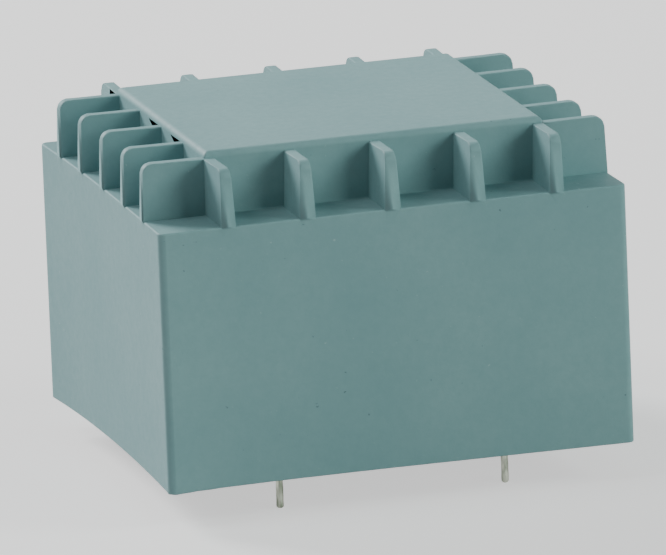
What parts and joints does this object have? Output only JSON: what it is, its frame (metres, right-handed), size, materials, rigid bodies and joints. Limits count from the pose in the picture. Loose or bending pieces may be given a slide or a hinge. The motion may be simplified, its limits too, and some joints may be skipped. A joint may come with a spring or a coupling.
{
  "type": "pcb transformer",
  "caption": "Encapsulated mains transformer for printed circuit boards: a potted, ribbed plastic case with solder pins below.",
  "frame": {"origin": "middle of the pin pattern, on the plane of the case's rim, where the board's top face lies", "axes": "+X along the case's long side, -Y towards the primary pins, +Z away from the board towards the ribs"},
  "size_m": [0.0516, 0.0464, 0.039],
  "materials": {
    "case": "moulded, fine matt texture",
    "resin": "cast, slightly glossy surface",
    "former": "moulded",
    "copper": "enamelled copper wire",
    "tape": "polyester film tape",
    "lamination": "annealed silicon steel sheet",
    "tin": "hot-tinned wire",
    "solder": "solder, dull bright"
  },
  "bodies": {
    "root": {"case": "case", "potting_resin": "resin", "coil_former": "former", "primary_winding": "copper", "secondary_winding": "copper", "primary_tape": "tape", "secondary_tape": "tape", "e_laminations": "lamination", "i_laminations": "lamination", "primary_pin_left": "tin", "primary_pin_right": "tin", "primary_lead_left": "copper", "primary_lead_right": "copper", "secondary_pin_1": "tin", "secondary_pin_2": "tin", "secondary_pin_3": "tin", "secondary_pin_4": "tin", "secondary_lead_1": "copper", "secondary_lead_2": "copper", "secondary_lead_3": "copper", "secondary_lead_4": "copper", "solder_joints": "solder"}
  },
  "joints": []
}
